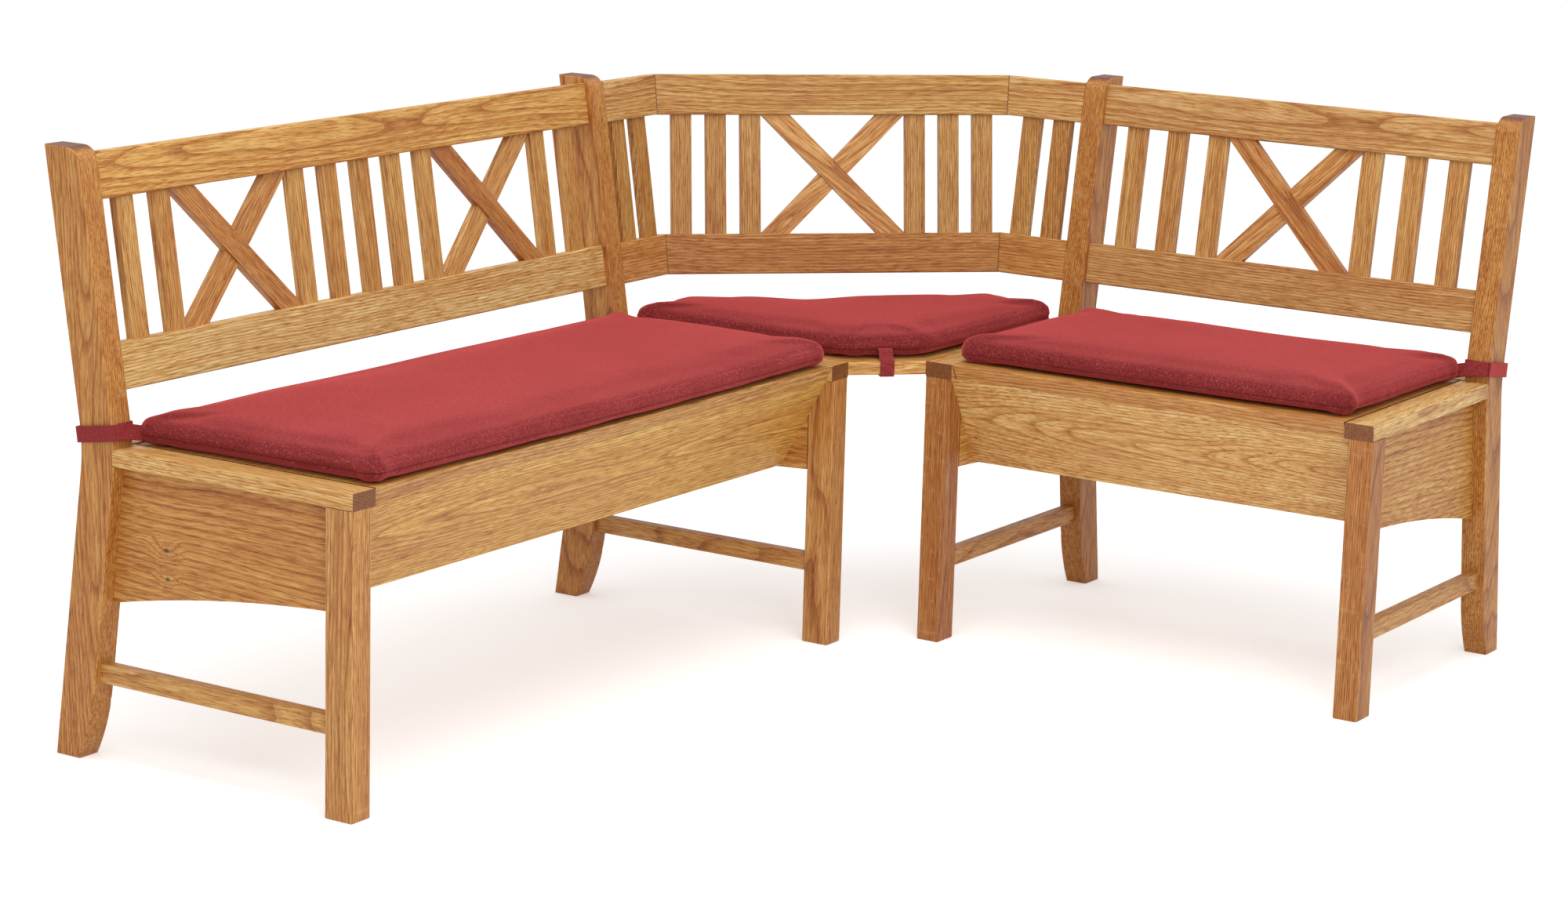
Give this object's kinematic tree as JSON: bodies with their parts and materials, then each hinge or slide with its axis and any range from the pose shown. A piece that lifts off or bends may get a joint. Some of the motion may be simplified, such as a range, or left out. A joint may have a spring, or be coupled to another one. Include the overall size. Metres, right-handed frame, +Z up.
{
  "type": "corner bench with chest seats",
  "caption": "L-shaped wooden corner bench with raked slatted backrests, crossed bars, hinged chest seats and flat seat cushions.",
  "frame": {"origin": "on the floor, under the middle of the bench's bounding box", "axes": "+Z up; +X along the short bench away from the corner; +Y along the long bench towards the corner"},
  "size_m": [1.4342, 1.8892, 0.88],
  "materials": {
    "oak": "oiled solid oak",
    "oak_board": "oak veneered board",
    "cushion_cloth": "woven red upholstery cloth",
    "strap_webbing": "hook-and-loop strap in the cushion's cloth",
    "hinge_steel": "zinc plated steel",
    "pin_steel": "plain steel"
  },
  "bodies": {
    "bench_frame": {"corner_battens": "oak", "corner_cross_back": "oak", "corner_cross_front": "oak", "corner_cushion": "cushion_cloth", "corner_lower_rail_left": "oak", "corner_lower_rail_middle": "oak", "corner_lower_rail_right": "oak", "corner_seat": "oak", "corner_slats": "oak", "corner_strap": "strap_webbing", "corner_upper_rail_left": "oak", "corner_upper_rail_middle": "oak", "corner_upper_rail_right": "oak", "hinge_pins": "pin_steel", "left_chest_back": "oak_board", "left_chest_floor": "oak_board", "left_cross_back": "oak", "left_cross_front": "oak", "left_end_rail_far": "oak", "left_end_rail_start": "oak", "left_front_panel": "oak", "left_hinge_rail": "oak", "left_leg_far": "oak", "left_leg_start": "oak", "left_lower_rail": "oak", "left_post_far": "oak", "left_post_start": "oak", "left_side_panels": "oak", "left_slats": "oak", "left_strap": "strap_webbing", "left_stretchers": "oak", "left_upper_rail": "oak", "rail_hinge_leaves": "hinge_steel", "right_chest_back": "oak_board", "right_chest_floor": "oak_board", "right_cross_back": "oak", "right_cross_front": "oak", "right_end_rail_far": "oak", "right_end_rail_start": "oak", "right_front_panel": "oak", "right_hinge_rail": "oak", "right_leg_far": "oak", "right_leg_start": "oak", "right_lower_rail": "oak", "right_post_far": "oak", "right_post_start": "oak", "right_side_panels": "oak", "right_slats": "oak", "right_strap": "strap_webbing", "right_stretchers": "oak", "right_upper_rail": "oak"},
    "left_lid": {"left_lid": "oak", "left_lid_battens": "oak", "left_lid_hinge_leaves": "hinge_steel", "left_cushion": "cushion_cloth"},
    "right_lid": {"right_lid": "oak", "right_lid_battens": "oak", "right_lid_hinge_leaves": "hinge_steel", "right_cushion": "cushion_cloth"}
  },
  "joints": [
    {"name": "left_lid_hinge", "type": "hinge", "parent": "bench_frame", "child": "left_lid", "pos_m": [-0.59774, -0.32176, 0.457], "axis": [0, -1, 0], "range_deg": [0, 55]},
    {"name": "right_lid_hinge", "type": "hinge", "parent": "bench_frame", "child": "right_lid", "pos_m": [0.32176, 0.82524, 0.457], "axis": [-1, 0, 0], "range_deg": [0, 55]}
  ]
}
